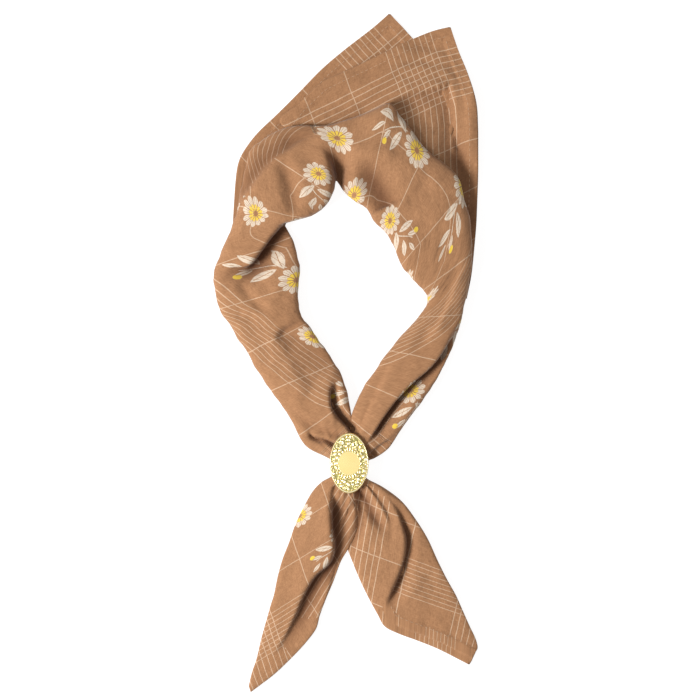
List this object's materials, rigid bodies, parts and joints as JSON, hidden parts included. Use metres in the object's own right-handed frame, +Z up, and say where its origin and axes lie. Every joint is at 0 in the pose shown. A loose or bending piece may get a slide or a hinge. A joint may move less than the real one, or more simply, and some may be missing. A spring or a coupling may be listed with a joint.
{
  "type": "neckerchief with slide",
  "caption": "Square cotton neckerchief folded corner to corner, rolled into a neck loop and drawn through an oval metal slide, with two tails below and two loose corners behind.",
  "frame": {"origin": "on the surface that it lies on, under the middle of its bounding box", "axes": "+Y from the tails towards the two loose corners, +Z up from the surface, +X to the right as seen from above with the slide's face up"},
  "size_m": [0.174, 0.4472, 0.0184],
  "materials": {
    "printed_cotton": "matte plain weave, caramel brown with cream lines and small daisies",
    "pale_gold": "cast, polished on the high places and darker in the recesses"
  },
  "bodies": {
    "root": {"kerchief": "printed_cotton", "slide": "pale_gold"}
  },
  "joints": []
}
